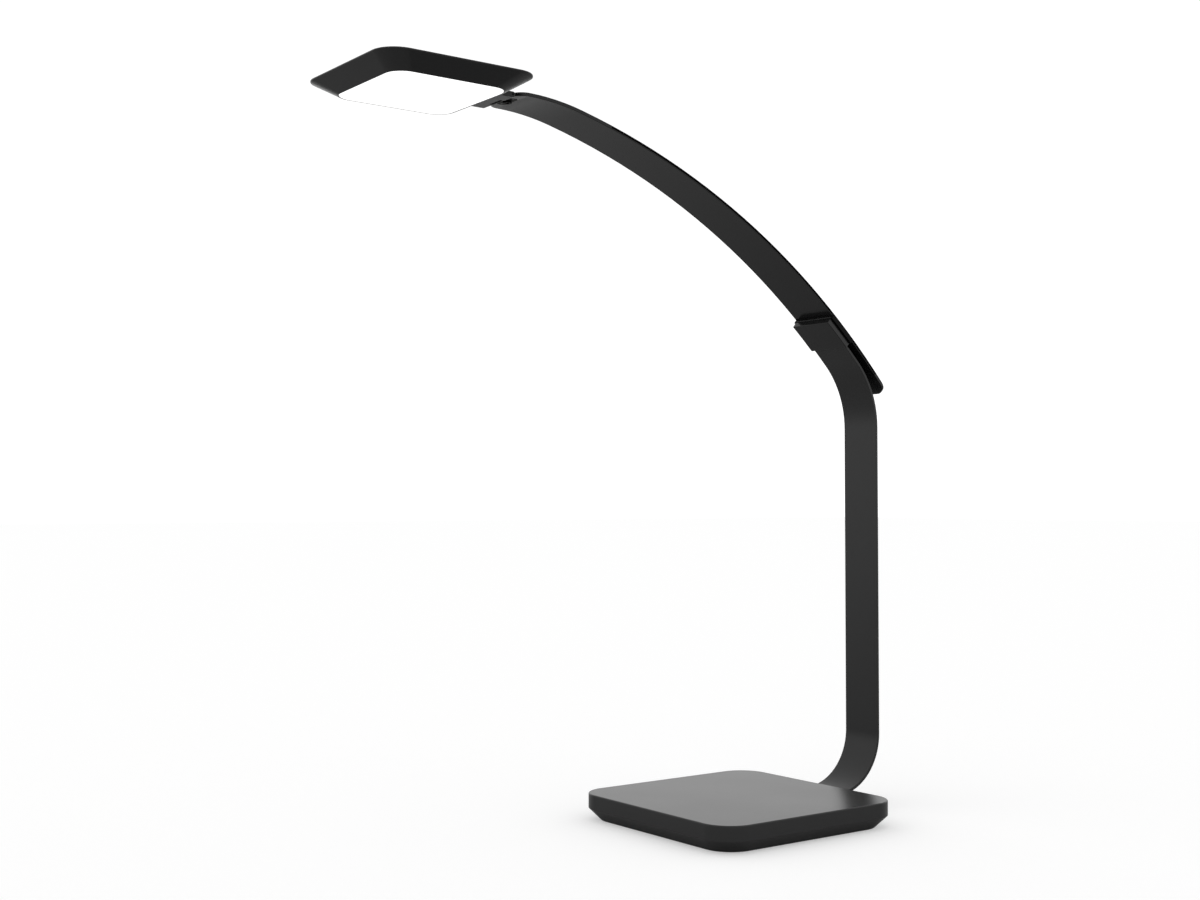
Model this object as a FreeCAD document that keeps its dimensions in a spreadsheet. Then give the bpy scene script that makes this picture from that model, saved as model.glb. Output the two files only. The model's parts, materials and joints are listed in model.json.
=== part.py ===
import FreeCAD, Part
import math
import os
import Sketcher
from types import SimpleNamespace

Vector = FreeCAD.Vector

# Desk lamp: slab base, bent strap post, arc-shaped arm that slides through a block, tilting square head.
# The origin is on the table under the base's centre, the post stands at +Y and the head reaches to -Y.
# Lengths are in millimetres and angles in degrees, turned from +Y towards +Z.
driving_sizes = {
    # base
    "foot_height": 0.6, "foot_radius": 7.0, "foot_inset": 33.0,
    "base_side": 160.0, "base_height": 18.4, "base_corner": 21.0,
    "base_bevel": 6.7, "base_bevel_height": 8.0, "base_low_corner": 19.3,
    "base_rim": 2.8, "base_top": 2.4, "base_edge": 0.8,
    "plate_thick": 1.5, "plate_sink": 0.2, "plate_gap": 0.3,
    "boss_inset": 10.5, "boss_radius": 4.0,
    "weight_gap": 0.6, "weight_space": 5.0,
    "board_width": 26.0, "board_thick": 1.6, "board_lift": 3.0,
    "board_space": 1.0, "board_clamp_space": 3.0, "board_rear_space": 4.5, "standoff_radius": 2.5,
    "chip_height": 1.2, "coil_height": 4.0, "capacitor_height": 6.0,
    "socket_drop": 5.4, "socket_width": 12.0, "socket_depth": 14.0,
    "socket_nose": 3.9, "socket_bore": 2.75, "socket_pin": 1.0, "socket_wall": 1.0,
    "socket_recess": 1.6,
    # post
    "strap_step": 2.8, "strap_thick": 2.2, "strap_drop": 2.7, "strap_hold": 33.5,
    "strap_stub": 5.3, "low_bend": 39.3, "top_bend": 65.9, "post_height": 279.13, "post_lead": 16.78,
    "clamp_thick": 3.0, "clamp_step": 1.0, "clamp_length": 24.0,
    "cable_width": 8.0, "cable_thick": 0.35, "cover_thick": 0.5,
    # slider
    "block_angle": 48.3, "block_length": 26.0, "block_step": 0.75,
    "block_wall": 1.1, "block_back": 2.2, "block_solid": 5.6, "insulator_thick": 1.2,
    "keeper_thick": 0.5, "keeper_apart": 6.0, "shoe_step": 1.25,
    # arm
    "arm_radius": 548.4, "arm_width": 38.0, "arm_thick": 2.4,
    "tail_length": 17.8, "arm_corner": 9.0,
    "bend_space": 25.0, "bend_radius": 175.0, "tip_flat": 7.6,
    "groove_depth": 1.5, "conductor_thick": 0.5,
    "slide_out": 3.5, "slide_in": 24.0,
    # head and its hinge
    "head_side": 108.0, "head_thick": 9.4, "head_corner": 16.2, "head_border": 13.5, "head_lip": 1.0,
    "head_rim": 0.65, "head_top": 1.5, "head_edge": 0.4, "head_gap": 4.6, "head_rise": 4.55,
    "opening_corner": 11.4,
    "leaf_thick": 1.0, "leaf_width": 18.0, "leaf_corner": 3.0, "tip_wall": 1.2, "tip_skin": 0.4,
    "knuckle_radius": 1.8, "knuckle_width": 11.8, "hinge_reach": 1.9, "pin_radius": 0.8,
    "bracket_width": 35.0, "bracket_wall": 2.35, "washer_thick": 0.3,
    "diffuser_thick": 2.0, "pad_thick": 0.5, "led_board_thick": 1.2, "led_board_inset": 2.0,
    "led_size": 3.0, "led_height": 0.7, "led_margin": 3.1, "frame_width": 4.2,
    # fasteners and clearances
    "screw_radius": 1.45, "screw_head": 2.7, "screw_head_height": 1.0,
    "small_screw": 0.95, "small_head": 1.7, "small_head_height": 0.8,
    "leaf_screw_head": 3.0, "leaf_screw_height": 1.2, "dowel_radius": 0.75,
    "hole_gap": 0.05, "seat_gap": 0.15, "run_gap": 0.3,
}
led_rows = 6
degrees_per_radian = 57.29577951308232

doc = FreeCAD.newDocument("table_lamp")
sheet = doc.addObject("Spreadsheet::Sheet", "Sizes")
for row, (name, number) in enumerate(driving_sizes.items(), 1):
    sheet.set(f"A{row}", name)
    sheet.set(f"B{row}", str(number))
    sheet.setAlias(f"B{row}", name)
doc.recompute()


class Size:
    # A number together with the sheet expression that gives it
    def __init__(self, number, text):
        self.number = number
        self.text = text

    def __add__(self, other):
        other = as_size(other)
        return Size(self.number + other.number, f"({self.text} + {other.text})")

    def __sub__(self, other):
        other = as_size(other)
        return Size(self.number - other.number, f"({self.text} - {other.text})")

    def __mul__(self, other):
        other = as_size(other)
        return Size(self.number * other.number, f"({self.text} * {other.text})")

    def __truediv__(self, other):
        other = as_size(other)
        return Size(self.number / other.number, f"({self.text} / {other.text})")

    def __neg__(self):
        return as_size(0) - self


def as_size(value):
    return value if isinstance(value, Size) else Size(float(value), repr(float(value)))


def cosine(angle):
    return Size(math.cos(math.radians(angle.number)), f"cos({angle.text})")


def sine(angle):
    return Size(math.sin(math.radians(angle.number)), f"sin({angle.text})")


def bind(thing, path, value):
    thing.setExpression(path, as_size(value).text)


s = SimpleNamespace(**{name: Size(float(sheet.get(name)), f"Sizes.{name}") for name in driving_sizes})

# Heights of the base
base_low = s.foot_height
base_high = base_low + s.base_height
cavity_half = s.base_side / 2 - s.base_bevel - s.base_rim
cavity_high = base_high - s.base_top
plate_low = base_low + s.plate_sink
plate_high = plate_low + s.plate_thick
boss_place = cavity_half - s.boss_inset
cavity_corner = s.base_low_corner - s.base_rim

# The post strap inside the base, and the arc that post and arm share
strap_high = cavity_high - s.strap_drop
strap_low = strap_high - s.strap_thick
strap_inside = cavity_half - s.strap_hold
strap_half = s.arm_width / 2 - s.strap_step
clamp_half = strap_half - s.clamp_step
post_y = s.base_side / 2 + s.strap_stub + s.low_bend
strap_back = -s.block_back - s.insulator_thick
strap_front = strap_back - s.strap_thick
block_front = strap_front - s.block_wall


def turn(length):
    # Angle at the arc's centre of a length along the arm
    return length / s.arm_radius * degrees_per_radian


block_low = s.block_angle - turn(s.block_length / 2)
block_high = s.block_angle + turn(s.block_length / 2)
strap_end = block_high - turn(s.block_solid)
lean_end = block_low - turn(s.post_lead)
lean_reach = s.arm_radius + strap_front - s.top_bend
arc_y = post_y - s.top_bend - lean_reach * cosine(lean_end)
arc_z = base_low + s.post_height - lean_reach * sine(lean_end)
groove_low = block_low - s.slide_out - turn(s.run_gap)
groove_high = block_high + s.slide_in + turn(s.run_gap)
groove_width = s.keeper_thick + s.run_gap * 2
tail_angle = groove_low - turn(s.tail_length)
bend_angle = groove_high + turn(s.bend_space)
block_half = s.arm_width / 2 - s.block_step
keeper_inner = s.arm_width / 2 + s.run_gap
keeper_back = -s.block_back + s.keeper_thick

# What sits in the base beside and before the strap
weight_rear = strap_inside - s.weight_space
board_left = s.boss_radius + s.board_space - boss_place
board_right = -clamp_half - s.board_clamp_space
board_length = board_right - board_left
board_x = (board_left + board_right) / 2
board_y = cavity_half - s.board_rear_space - s.board_width / 2
socket_x = (clamp_half + boss_place - s.boss_radius) / 2
socket_z = cavity_high - s.socket_drop

# The arm's level tip, the hinge axis and the head
tip_y = arc_y + (s.arm_radius - s.bend_radius) * cosine(bend_angle)
tip_z = arc_z + (s.arm_radius - s.bend_radius) * sine(bend_angle) + s.bend_radius
tip_end = tip_y - s.tip_flat
head_rear = tip_end - s.head_gap
head_y = head_rear - s.head_side / 2
hinge_y = head_rear + s.hinge_reach
hinge_z = tip_z
head_high = tip_z + s.head_rise
head_low = head_high - s.head_thick
head_cavity_high = head_high - s.head_top
head_opening = s.head_side / 2 - s.head_border - s.head_rim
led_board_high = head_cavity_high - s.pad_thick
led_board_low = led_board_high - s.led_board_thick


# Building blocks

def box(name, x, y, z):
    block = doc.addObject("Part::Box", name)
    for side, axis, (low, high) in zip(("Length", "Width", "Height"), "xyz", (x, y, z)):
        low = as_size(low)
        bind(block, side, high - low)
        bind(block, f"Placement.Base.{axis}", low)
    return block


def cylinder(name, radius, axis, low, high, centre):
    # A round bar along one axis; centre gives its two other coordinates in order
    rod = doc.addObject("Part::Cylinder", name)
    turns = {"x": (Vector(0, 1, 0), 90), "y": (Vector(1, 0, 0), -90), "z": (Vector(0, 0, 1), 0)}
    rod.Placement = FreeCAD.Placement(Vector(), FreeCAD.Rotation(*turns[axis]))
    low = as_size(low)
    bind(rod, "Radius", radius)
    bind(rod, "Height", high - low)
    others = [letter for letter in "xyz" if letter != axis]
    for letter, value in [(axis, low), *zip(others, centre)]:
        bind(rod, f"Placement.Base.{letter}", value)
    return rod


def radial_cylinder(name, radius, x, angle, offsets):
    # A round bar square to the arm's face, between two offsets from the arm's inner face
    rod = doc.addObject("Part::Cylinder", name)
    low, high = offsets
    lean = as_size(90) - angle
    rod.Placement = FreeCAD.Placement(Vector(), FreeCAD.Rotation(Vector(-1, 0, 0), lean.number))
    bind(rod, "Radius", radius)
    bind(rod, "Height", high - low)
    bind(rod, "Placement.Rotation.Angle", lean)
    bind(rod, "Placement.Base.x", x)
    bind(rod, "Placement.Base.y", arc_y + (s.arm_radius + low) * cosine(angle))
    bind(rod, "Placement.Base.z", arc_z + (s.arm_radius + low) * sine(angle))
    return rod


def fuse(name, *pieces):
    union = doc.addObject("Part::MultiFuse", name)
    union.Shapes = list(pieces)
    return union


def cut(name, base, *tools):
    result = doc.addObject("Part::Cut", name)
    result.Base = base
    result.Tool = tools[0] if len(tools) == 1 else fuse(f"{name}_tools", *tools)
    return result


def group(name, *pieces):
    compound = doc.addObject("Part::Compound", name)
    compound.Links = list(pieces)
    return compound


def sketch_on(body, name, role, offset=0):
    sketch = body.newObject("Sketcher::SketchObject", name)
    plane = next(feature for feature in body.Origin.OriginFeatures if feature.Role == role)
    sketch.AttachmentSupport = (plane, [""])
    sketch.MapMode = "FlatFace"
    bind(sketch, "AttachmentOffset.Base.z", offset)
    return sketch


def constrain(sketch, name, value, *constraint):
    # A dimension of a sketch, bound to the sheet
    index = sketch.addConstraint(Sketcher.Constraint(*constraint, as_size(value).number))
    sketch.renameConstraint(index, name)
    bind(sketch, f"Constraints.{name}", value)


def rounded_rectangle(sketch, half_x, half_y, corner):
    # Four sides and four corner arcs, centred on the sketch's origin
    half_x, half_y, corner = as_size(half_x), as_size(half_y), as_size(corner)
    x, y, r = half_x.number, half_y.number, corner.number
    bends = [(x - r, r - y, -90), (x - r, y - r, 0), (r - x, y - r, 90), (r - x, r - y, 180)]
    starts = [(r - x, -y), (x, r - y), (x - r, y), (-x, y - r)]
    ends = [(x - r, -y), (x, y - r), (r - x, y), (-x, r - y)]
    for (start_x, start_y), (end_x, end_y), (bend_x, bend_y, angle) in zip(starts, ends, bends):
        sketch.addGeometry(Part.LineSegment(Vector(start_x, start_y), Vector(end_x, end_y)))
        circle = Part.Circle(Vector(bend_x, bend_y), Vector(0, 0, 1), r)
        sketch.addGeometry(Part.ArcOfCircle(circle, math.radians(angle), math.radians(angle + 90)))
    for side in range(4):
        line, bend, following = 2 * side, 2 * side + 1, (2 * side + 2) % 8
        sketch.addConstraint(Sketcher.Constraint("Tangent", line, 2, bend, 1))
        sketch.addConstraint(Sketcher.Constraint("Tangent", bend, 2, following, 1))
        sketch.addConstraint(Sketcher.Constraint("Horizontal" if side % 2 == 0 else "Vertical", line))
        if side:
            sketch.addConstraint(Sketcher.Constraint("Equal", 1, bend))
    constrain(sketch, "corner", corner, "Radius", 1)
    constrain(sketch, "right", half_x, "DistanceX", -1, 1, 2, 1)
    constrain(sketch, "left", half_x, "DistanceX", 6, 1, -1, 1)
    constrain(sketch, "front", half_y, "DistanceY", 0, 1, -1, 1)
    constrain(sketch, "rear", half_y, "DistanceY", -1, 1, 4, 1)


def pad(body, sketch, length, symmetric=False):
    feature = body.newObject("PartDesign::Pad", f"{sketch.Name}_pad")
    feature.Profile = sketch
    feature.SideType = "Symmetric" if symmetric else "One side"
    bind(feature, "Length", length)
    return feature


def round_edges(body, feature, radius, chosen):
    doc.recompute()
    names = [f"Edge{index}" for index, edge in enumerate(feature.Shape.Edges, 1) if chosen(edge)]
    fillet = body.newObject("PartDesign::Fillet", f"{body.Name}_fillet")
    fillet.Base = (feature, names)
    bind(fillet, "Radius", radius)


def prism(name, half_x, half_y, corner, low, high, centre_y=0):
    # A plate with rounded corners
    body = doc.addObject("PartDesign::Body", name)
    outline = sketch_on(body, f"{name}_outline", "XY_Plane", low)
    rounded_rectangle(outline, half_x, half_y, corner)
    pad(body, outline, high - low)
    bind(body, "Placement.Base.y", centre_y)
    return body


def bevelled_slab(name, half, corner, low_corner, bevel_in, bevel_high, low, high, edge, centre_y=0):
    # A square slab that narrows towards its underside, with a softened top edge
    body = doc.addObject("PartDesign::Body", name)
    underside = sketch_on(body, f"{name}_underside", "XY_Plane", low)
    rounded_rectangle(underside, half - bevel_in, half - bevel_in, low_corner)
    shoulder = sketch_on(body, f"{name}_shoulder", "XY_Plane", bevel_high)
    rounded_rectangle(shoulder, half, half, corner)
    bevel = body.newObject("PartDesign::AdditiveLoft", f"{name}_bevel")
    bevel.Profile = underside
    bevel.Sections = [shoulder]
    bevel.Ruled = True
    wall = sketch_on(body, f"{name}_wall", "XY_Plane", bevel_high)
    rounded_rectangle(wall, half, half, corner)
    upper = pad(body, wall, high - bevel_high)
    top = high.number
    round_edges(body, upper, edge, lambda line: all(abs(v.Z - top) < 1e-6 for v in line.Vertexes))
    bind(body, "Placement.Base.y", centre_y)
    return body


def arc_bar(name, x, offsets, angles):
    # A bar bent round the arm's centre: x range, offsets from the arm's inner face, start and end angle
    body = doc.addObject("PartDesign::Body", name)
    section = sketch_on(body, f"{name}_section", "XY_Plane")
    (left, right), (low, high) = x, [s.arm_radius + offset for offset in offsets]
    left, right = as_size(left), as_size(right)
    corners = [(left, low), (right, low), (right, high), (left, high)]
    points = [Vector(x.number, y.number) for x, y in corners]
    for index in range(4):
        sketch_line = Part.LineSegment(points[index], points[(index + 1) % 4])
        section.addGeometry(sketch_line)
    for index in range(4):
        section.addConstraint(Sketcher.Constraint("Coincident", index, 2, (index + 1) % 4, 1))
        section.addConstraint(Sketcher.Constraint("Vertical" if index % 2 else "Horizontal", index))
    constrain(section, "inner", low, "DistanceY", -1, 1, 0, 1)
    constrain(section, "thick", high - low, "DistanceY", 1, 1, 1, 2)
    constrain(section, "width", right - left, "DistanceX", 0, 1, 0, 2)
    if left.number < 0:
        constrain(section, "left", -left, "DistanceX", 0, 1, -1, 1)
    else:
        constrain(section, "left", left, "DistanceX", -1, 1, 0, 1)
    bend = body.newObject("PartDesign::Revolution", f"{name}_bend")
    bend.Profile = section
    bend.ReferenceAxis = (section, ["H_Axis"])
    start, end = angles
    bind(bend, "Angle", end - start)
    body.Placement = FreeCAD.Placement(Vector(), FreeCAD.Rotation(Vector(1, 0, 0), start.number))
    bind(body, "Placement.Rotation.Angle", start)
    bind(body, "Placement.Base.y", arc_y)
    bind(body, "Placement.Base.z", arc_z)
    return body


def screw(name, radius, head_radius, low, head_high, high, place):
    # An upright screw with its head below
    shank = cylinder(f"{name}_shank", radius, "z", head_high, high, place)
    return fuse(name, shank, cylinder(f"{name}_head", head_radius, "z", low, head_high, place))


# Bent straps

class Line:
    # A straight run of a strap's front face
    def __init__(self, start, end):
        self.start, self.end = Vector(*start), Vector(*end)

    def edge(self, offset):
        along = (self.end - self.start).normalize()
        outward = Vector(along.y, -along.x) * offset
        return Part.LineSegment(self.start + outward, self.end + outward)


class Bend:
    # A round run of a strap's front face, turning towards its front; radius is bound to the sheet
    def __init__(self, centre, radius, start, end):
        self.centre, self.radius = Vector(*centre), radius
        self.start, self.end = math.radians(start), math.radians(end)

    def edge(self, offset):
        circle = Part.Circle(self.centre, Vector(0, 0, 1), self.radius.number + offset)
        return Part.ArcOfCircle(circle, self.start, self.end)


def strap_body(name, runs, front, back, width):
    # A band between two offsets from the runs' front face, spread evenly to both sides of the middle plane
    front, back = as_size(front), as_size(back)
    body = doc.addObject("PartDesign::Body", name)
    outline = sketch_on(body, f"{name}_outline", "YZ_Plane")
    for offset, side in ((front, "front"), (back, "back")):
        first = outline.GeometryCount
        for index, run in enumerate(runs):
            geometry = outline.addGeometry(run.edge(offset.number))
            if index:
                outline.addConstraint(Sketcher.Constraint("Coincident", geometry - 1, 2, geometry, 1))
            if isinstance(run, Bend):
                constrain(outline, f"{side}_bend_{index}", run.radius + offset, "Radius", geometry)
        last = outline.GeometryCount - 1
        if side == "front":
            ends = [(first, 1), (last, 2)]
    for (front_line, point), back_line in zip(ends, (first, last)):
        begin = outline.getPoint(front_line, point)
        cap = outline.addGeometry(Part.LineSegment(begin, outline.getPoint(back_line, point)))
        outline.addConstraint(Sketcher.Constraint("Coincident", front_line, point, cap, 1))
        outline.addConstraint(Sketcher.Constraint("Coincident", back_line, point, cap, 2))
    return body, pad(body, outline, width, symmetric=True)


def post_runs(start_y, end_angle):
    # The post's front face: level in the base, up, forward, then along the arm's arc
    low_centre = ((post_y - s.low_bend).number, (strap_high + s.low_bend).number)
    top_centre = ((post_y - s.top_bend).number, (base_low + s.post_height).number)
    arc_centre = (arc_y.number, arc_z.number)
    runs = []
    if start_y.number < low_centre[0]:
        runs.append(Line((start_y.number, strap_high.number), (low_centre[0], strap_high.number)))
    runs.append(Bend(low_centre, s.low_bend, -90, 0))
    runs.append(Line((post_y.number, low_centre[1]), (post_y.number, top_centre[1])))
    runs.append(Bend(top_centre, s.top_bend, 0, lean_end.number))
    runs.append(Bend(arc_centre, s.arm_radius + strap_front, lean_end.number, end_angle.number))
    return runs


def arm_runs():
    # The arm's inner face: one long arc, a tighter bend that levels it, and a short flat tip
    arc_centre = (arc_y.number, arc_z.number)
    bend_centre = (tip_y.number, (tip_z - s.bend_radius).number)
    return [
        Bend(arc_centre, s.arm_radius, tail_angle.number, bend_angle.number),
        Bend(bend_centre, s.bend_radius, bend_angle.number, 90),
        Line((tip_y.number, tip_z.number), (tip_end.number, tip_z.number)),
    ]


# Base

def corner_places(place):
    return [(place, place), (-place, place), (-place, -place), (place, -place)]


def base_shell():
    slab = bevelled_slab("base_slab", s.base_side / 2, s.base_corner, s.base_low_corner,
                         s.base_bevel, base_low + s.base_bevel_height, base_low, base_high, s.base_edge)
    cavity = prism("base_cavity", cavity_half, cavity_half, cavity_corner, base_low, cavity_high)
    hollow = cut("base_hollow", slab, cavity)
    bosses = [cylinder(f"base_boss_{index}", s.boss_radius, "z", plate_high, cavity_high, place)
              for index, place in enumerate(corner_places(boss_place))]
    half = clamp_half + s.boss_radius
    seat = box("strap_seat", (-half, half), (strap_inside, cavity_half), (strap_high, cavity_high))
    body = fuse("base_body", hollow, seat, *bosses)
    slot_half = strap_half + s.seat_gap
    slot = box("strap_slot", (-slot_half, slot_half), (cavity_half, s.base_side / 2),
               (strap_low - s.seat_gap, strap_high + s.seat_gap))
    nose = cylinder("socket_hole", s.socket_nose + s.hole_gap, "y", cavity_half, s.base_side / 2,
                    (socket_x, socket_z))
    holes = [cylinder(f"boss_hole_{index}", s.screw_radius + s.hole_gap, "z", plate_high,
                      cavity_high - s.base_top, place)
             for index, place in enumerate(corner_places(boss_place))]
    holes += [cylinder(f"seat_hole_{index}", s.screw_radius + s.hole_gap, "z", strap_high, cavity_high, place)
              for index, place in enumerate(clamp_places())]
    return cut("base_shell", body, slot, nose, *holes)


def base_weight():
    half = cavity_half - s.weight_gap
    length = weight_rear + half
    slab = prism("weight_slab", half, length / 2, cavity_corner, plate_high, cavity_high - s.seat_gap,
                 weight_rear - length / 2)
    notches = [cylinder(f"weight_notch_{index}", s.boss_radius + s.weight_gap, "z", plate_high,
                        cavity_high, place)
               for index, place in enumerate(corner_places(boss_place)[2:])]
    return cut("base_weight", slab, *notches)


def standoff_places():
    reach = board_length / 2 - s.standoff_radius
    return [(board_x - reach, board_y), (board_x + reach, board_y)]


def bottom_plate():
    half = cavity_half - s.plate_gap
    sheet_metal = prism("plate_sheet", half, half, cavity_corner - s.plate_gap, plate_low, plate_high)
    posts = [cylinder(f"standoff_{index}", s.standoff_radius, "z", plate_high, plate_high + s.board_lift,
                      place)
             for index, place in enumerate(standoff_places())]
    body = fuse("plate_body", sheet_metal, *posts)
    sinks = [cylinder(f"plate_sink_{index}", s.screw_head + s.hole_gap, "z", plate_low,
                      plate_low + s.screw_head_height, place)
             for index, place in enumerate(corner_places(boss_place))]
    holes = [cylinder(f"plate_hole_{index}", s.screw_radius + s.hole_gap, "z", plate_low, plate_high, place)
             for index, place in enumerate(corner_places(boss_place))]
    return cut("bottom_plate", body, *sinks, *holes)


def foot_pads():
    # Four corner feet and one in the middle, which keeps the plate from drumming
    places = corner_places(s.base_side / 2 - s.foot_inset) + [(0, 0)]
    feet = [cylinder(f"foot_{index}", s.foot_radius, "z", 0, plate_low, place)
            for index, place in enumerate(places)]
    return group("foot_pads", *feet)


def plate_screws():
    high = cavity_high - s.base_top
    screws = [screw(f"plate_screw_{index}", s.screw_radius, s.screw_head, plate_low,
                    plate_low + s.screw_head_height, high, place)
              for index, place in enumerate(corner_places(boss_place))]
    return group("plate_screws", *screws)


board_low = plate_high + s.board_lift
board_high = board_low + s.board_thick


def control_board():
    half_x, half_y = board_length / 2, s.board_width / 2
    return box("control_board", (board_x - half_x, board_x + half_x),
               (board_y - half_y, board_y + half_y), (board_low, board_high))


def board_components():
    quarter = board_length / 4
    chip = box("chip", (board_x - quarter / 2, board_x + quarter / 2),
               (board_y - quarter / 2, board_y + quarter / 2), (board_high, board_high + s.chip_height))
    coil = cylinder("coil", quarter / 2.5, "z", board_high, board_high + s.coil_height,
                    (board_x + quarter, board_y))
    capacitor = cylinder("capacitor", quarter / 3, "z", board_high, board_high + s.capacitor_height,
                         (board_x + quarter * 1.6, board_y + quarter * 0.6))
    return group("board_components", chip, coil, capacitor)


def touch_spring():
    place = (board_x - board_length / 3, board_y)
    shoulder = (board_high + cavity_high) / 2
    barrel = cylinder("touch_barrel", s.standoff_radius, "z", board_high, shoulder, place)
    plunger = cylinder("touch_plunger", s.standoff_radius / 2, "z", shoulder, cavity_high, place)
    return fuse("touch_spring", barrel, plunger)


def dc_socket():
    middle = (socket_x, socket_z)
    half = s.socket_width / 2
    inner_y = cavity_half - s.socket_depth
    outer_y = s.base_side / 2 - s.socket_recess
    housing = box("socket_housing", (socket_x - half, socket_x + half), (inner_y, cavity_half),
                  (socket_z - s.socket_nose - s.socket_wall, socket_z + s.socket_nose + s.socket_wall))
    nose = cylinder("socket_nose", s.socket_nose, "y", cavity_half, outer_y, middle)
    body = fuse("socket_body", housing, nose)
    floor_y = inner_y + s.socket_nose
    bore = cylinder("socket_bore", s.socket_bore, "y", floor_y, outer_y, middle)
    pin = cylinder("socket_pin", s.socket_pin, "y", floor_y, outer_y - s.socket_nose / 2, middle)
    return fuse("dc_socket", cut("socket_shell", body, bore), pin)


# Post

def clamp_places():
    middle = (strap_inside + cavity_half) / 2
    reach_x = clamp_half - s.screw_head - s.run_gap * 2
    reach_y = s.clamp_length / 2 - s.screw_head - s.run_gap * 2
    return [(reach_x, middle + reach_y), (-reach_x, middle + reach_y),
            (-reach_x, middle - reach_y), (reach_x, middle - reach_y)]


def strap_clamp():
    half = clamp_half
    middle = (strap_inside + cavity_half) / 2
    plate = box("clamp_plate", (-half, half), (middle - s.clamp_length / 2, middle + s.clamp_length / 2),
                (strap_low - s.clamp_thick, strap_low))
    holes = [cylinder(f"clamp_hole_{index}", s.screw_radius + s.hole_gap, "z", strap_low - s.clamp_thick,
                      strap_low, place)
             for index, place in enumerate(clamp_places())]
    return cut("strap_clamp", plate, *holes)


def clamp_screws():
    seat = strap_low - s.clamp_thick
    screws = [screw(f"clamp_screw_{index}", s.screw_radius, s.screw_head, seat - s.screw_head_height * 2,
                    seat, cavity_high - s.run_gap, place)
              for index, place in enumerate(clamp_places())]
    return group("clamp_screws", *screws)


cover_front = s.strap_thick - s.cover_thick
cable_front = cover_front - s.cable_thick
cable_start = strap_inside + s.clamp_thick
cover_start = s.base_side / 2 + s.run_gap


def post_strap():
    runs = post_runs(strap_inside, strap_end)
    strap, _ = strap_body("post_band", runs, 0, s.strap_thick, strap_half * 2)
    channel_runs = post_runs(cable_start, strap_end - turn(s.block_solid))
    channel, _ = strap_body("cable_channel", channel_runs, cable_front, s.strap_thick + s.run_gap,
                            s.cable_width)
    holes = [cylinder(f"strap_hole_{index}", s.screw_radius + s.hole_gap, "z", strap_low, strap_high, place)
             for index, place in enumerate(clamp_places())]
    taps = [radial_cylinder(f"strap_tap_{index}", s.small_screw + s.hole_gap, x, angle,
                            (strap_front, strap_back))
            for index, (x, angle) in enumerate(slider_places()[:2])]
    return cut("post_strap", strap, channel, *holes, *taps)


def post_cable():
    runs = post_runs(cable_start, strap_end - turn(s.block_solid))
    cable, _ = strap_body("post_cable", runs, cable_front, cover_front, s.cable_width - s.run_gap)
    return cable


def cable_cover():
    runs = post_runs(cover_start, block_low)
    cover, _ = strap_body("cable_cover", runs, cover_front, s.strap_thick, s.cable_width - s.run_gap)
    return cover


# Slider

def slider_places():
    # Two screws in the strap, then two in the block's solid end
    reach = block_half - s.small_head * 4
    in_strap = block_low + turn(s.block_solid)
    in_block = block_high - turn(s.block_solid / 2)
    return [(reach, in_strap), (-reach, in_strap), (reach, in_block), (-reach, in_block)]


def slider_holes(name, radius, offsets, places=slice(None)):
    return [radial_cylinder(f"{name}_{index}", radius, x, angle, offsets)
            for index, (x, angle) in enumerate(slider_places()[places])]


def slider_block():
    half = block_half
    pocket_half = strap_half + s.seat_gap
    body = arc_bar("block_body", (-half, half), (block_front, -s.block_back), (block_low, block_high))
    pocket = arc_bar("block_pocket", (-pocket_half, pocket_half), (strap_front, -s.block_back),
                     (block_low, strap_end + turn(s.seat_gap)))
    holes = slider_holes("block_tap", s.small_screw + s.hole_gap, (block_front + s.block_wall,
                         -s.block_back), slice(2, 4))
    return cut("slider_block", body, pocket, *holes)


def strap_insulator():
    half = strap_half
    plate = arc_bar("insulator_plate", (-half, half), (strap_back, -s.block_back), (block_low, strap_end))
    holes = slider_holes("insulator_hole", s.small_screw + s.hole_gap, (strap_back, -s.block_back),
                         slice(0, 2))
    return cut("strap_insulator", plate, *holes)


def glide_shoe():
    half = s.arm_width / 2 - s.shoe_step
    shoe_back = -s.run_gap
    plate = arc_bar("shoe_plate", (-half, half), (keeper_back, shoe_back), (block_low, block_high))
    holes = slider_holes("shoe_hole", s.small_screw + s.hole_gap, (keeper_back, shoe_back))
    sinks = slider_holes("shoe_sink", s.small_head + s.hole_gap, (shoe_back - s.small_head_height, shoe_back))
    return cut("glide_shoe", plate, *holes, *sinks)


def keeper(name, side):
    # Flange under the block, wall past the arm's edge, lip in the arm's groove; side is -1 or 1
    angles = (block_low, block_high)
    outer = keeper_inner + s.keeper_thick
    lip_middle = s.arm_thick / 2
    lip = (lip_middle - s.keeper_thick / 2, lip_middle + s.keeper_thick / 2)
    tip = s.arm_width / 2 - s.groove_depth + s.run_gap

    def span(inner, outer):
        return (inner, outer) if side > 0 else (-outer, -inner)

    flange = arc_bar(f"{name}_flange", span(s.keeper_apart, outer), (-s.block_back, keeper_back), angles)
    wall = arc_bar(f"{name}_wall", span(keeper_inner, outer), (keeper_back, lip[1]), angles)
    hook = arc_bar(f"{name}_lip", span(tip, keeper_inner), lip, angles)
    body = fuse(f"{name}_body", flange, wall, hook)
    holes = slider_holes(f"{name}_hole", s.small_screw + s.hole_gap, (-s.block_back, keeper_back))
    return cut(name, body, *holes)


def slider_screws():
    screws = []
    head_back = -s.run_gap - s.hole_gap
    head_front = -s.run_gap - s.small_head_height
    for index, (x, angle) in enumerate(slider_places()):
        reach = strap_front if index < 2 else block_front + s.block_wall
        shank = radial_cylinder(f"slider_shank_{index}", s.small_screw, x, angle, (reach, head_front))
        head = radial_cylinder(f"slider_head_{index}", s.small_head, x, angle, (head_front, head_back))
        screws.append(fuse(f"slider_screw_{index}", shank, head))
    return group("slider_screws", *screws)


# Arm

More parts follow.
